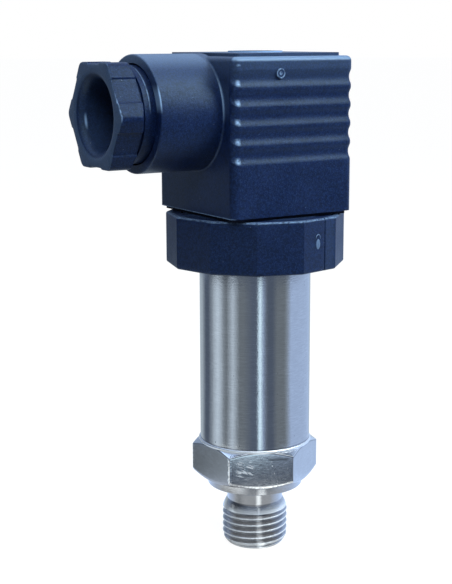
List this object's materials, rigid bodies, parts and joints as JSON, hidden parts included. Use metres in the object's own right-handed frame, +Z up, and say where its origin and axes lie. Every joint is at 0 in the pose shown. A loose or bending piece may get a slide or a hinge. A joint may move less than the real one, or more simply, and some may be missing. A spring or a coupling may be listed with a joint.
{
  "type": "pressure transmitter",
  "caption": "Stainless pressure transmitter with a threaded process connection, a hexagon, a slim tube, a twelve-sided union ring and an angle plug with cable gland.",
  "frame": {"origin": "centre of the sealing face under the flange, on the tube's axis", "axes": "+Z up the tube, away from the process thread; -X along the cable gland's axis to its mouth; -Y the plug's front grip face"},
  "size_m": [0.0522, 0.035, 0.0991],
  "materials": {
    "stainless_turned": "turned, fine bright tool marks",
    "stainless_tube": "fine turned finish, satin",
    "ceramic": "matt fired",
    "seal_rubber": "matt black",
    "gasket_rubber": "matt black",
    "board_laminate": "solder mask",
    "chip_black": "matt",
    "inner_plastic": "moulded",
    "wire_coat": "smooth",
    "base_plastic": "moulded",
    "ring_plastic": "moulded, fine grain",
    "cover_plastic": "moulded, fine grain",
    "nut_plastic": "moulded, fine grain",
    "tinned_brass": "tinned",
    "brass": "turned",
    "zinc_steel": "zinc plated"
  },
  "bodies": {
    "transmitter": {"process_connection": "stainless_turned", "body_tube": "stainless_tube", "sensor_cell": "ceramic", "sensor_oring": "seal_rubber", "sensor_lock_ring": "stainless_turned", "circuit_board": "board_laminate", "board_components": "chip_black", "board_carrier": "inner_plastic", "sensor_leads": "wire_coat", "connection_leads": "wire_coat", "header_base": "base_plastic", "contact_pin_1": "tinned_brass", "contact_pin_2": "tinned_brass", "contact_pin_3": "tinned_brass", "earth_pin": "tinned_brass", "thread_insert": "brass", "collar_oring": "seal_rubber", "flat_gasket": "gasket_rubber"},
    "plug": {"plug_cover": "cover_plastic", "contact_insert": "inner_plastic", "terminal_1": "tinned_brass", "terminal_2": "tinned_brass", "terminal_3": "tinned_brass", "earth_terminal": "tinned_brass", "terminal_screws": "zinc_steel", "gland_seal": "seal_rubber"},
    "seal_under_screw": {"screw_seal": "seal_rubber"},
    "plug_screw": {"retaining_screw": "zinc_steel"},
    "gland_thrust": {"gland_washer": "inner_plastic"},
    "gland_screw": {"gland_nut": "nut_plastic"},
    "ring_thrust": {"slip_washer": "inner_plastic"},
    "union_ring": {"collar_ring": "ring_plastic"}
  },
  "joints": [
    {"name": "plug_pull", "type": "slide", "parent": "transmitter", "child": "plug", "axis": [0, 0, 1], "range_m": [0, 0.016]},
    {"name": "screw_rise", "type": "slide", "parent": "plug", "child": "seal_under_screw", "axis": [0, 0, 1], "range_m": [0, 0.005]},
    {"name": "screw_turn", "type": "hinge", "parent": "seal_under_screw", "child": "plug_screw", "pos_m": [0, 0, 0.0817], "axis": [0, 0, 1], "range_deg": [0, 3600.5]},
    {"name": "gland_travel", "type": "slide", "parent": "plug", "child": "gland_thrust", "axis": [-1, 0, 0], "range_m": [0, 0.0045]},
    {"name": "gland_turn", "type": "hinge", "parent": "gland_thrust", "child": "gland_screw", "pos_m": [-0.0215, 0, 0.07515], "axis": [-1, 0, 0], "range_deg": [0, 1080]},
    {"name": "ring_travel", "type": "slide", "parent": "transmitter", "child": "ring_thrust", "axis": [0, 0, -1], "range_m": [0, 0.00525]},
    {"name": "ring_turn", "type": "hinge", "parent": "ring_thrust", "child": "union_ring", "pos_m": [0, 0, 0.0474], "axis": [0, 0, -1], "range_deg": [0, 1260]}
  ],
  "couplings": [
    {"joint": "screw_turn", "follows": "screw_rise", "rad_per_m": 12566},
    {"joint": "gland_travel", "follows": "gland_turn", "m_per_rad": 0.00023873},
    {"joint": "ring_travel", "follows": "ring_turn", "m_per_rad": 0.00023873}
  ]
}
